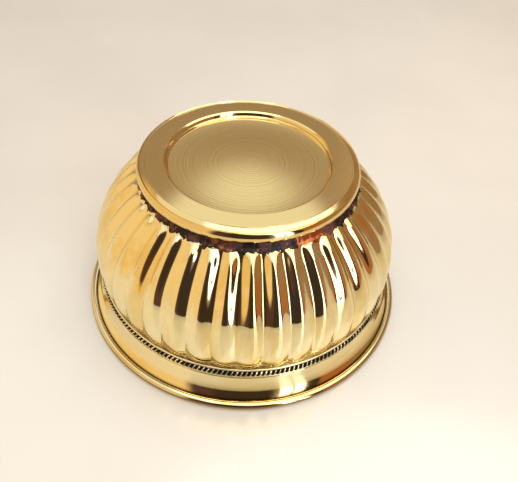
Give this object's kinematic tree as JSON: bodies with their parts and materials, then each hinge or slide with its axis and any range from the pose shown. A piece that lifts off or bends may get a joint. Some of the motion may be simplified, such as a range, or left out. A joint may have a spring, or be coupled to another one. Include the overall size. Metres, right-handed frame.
{
  "type": "fluted brass bowl",
  "caption": "Fluted brass bowl on a turned foot, with a rope moulding and a flared lip rolled round a wire, standing mouth down on its rim.",
  "frame": {"origin": "centre of the plane that the rolled rim stands on, on the bowl's axis", "axes": "+Z along the bowl's axis, up out of the foot's flat face, with the bowl turned mouth down; +X and +Y are any two directions square to it, with the camera side at -Y"},
  "size_m": [0.159, 0.159, 0.0787],
  "materials": {
    "raised_brass": "mirror-polished raised sheet with a few faint polishing scratches",
    "spun_brass": "mirror-polished spun sheet with faint concentric lines",
    "drawn_brass_wire": "polished drawn wire",
    "twisted_brass_wire": "polished twisted wire, darker in the grooves of the twist",
    "turned_brass": "turned casting with fine concentric tool marks on the flat face",
    "turned_brass_disc": "turned disc with fine concentric tool marks and chatter, a little duller than the ring",
    "braze_metal": "brazing metal, rough and darkened with flux residue"
  },
  "bodies": {
    "root": {"fluted_body": "raised_brass", "flared_lip": "spun_brass", "rim_wire": "drawn_brass_wire", "rope_wire": "twisted_brass_wire", "upper_fillet_wire": "drawn_brass_wire", "lower_fillet_wire": "drawn_brass_wire", "lip_braze": "braze_metal", "foot_ring": "turned_brass", "foot_braze": "braze_metal", "base_disc": "turned_brass_disc"}
  },
  "joints": []
}
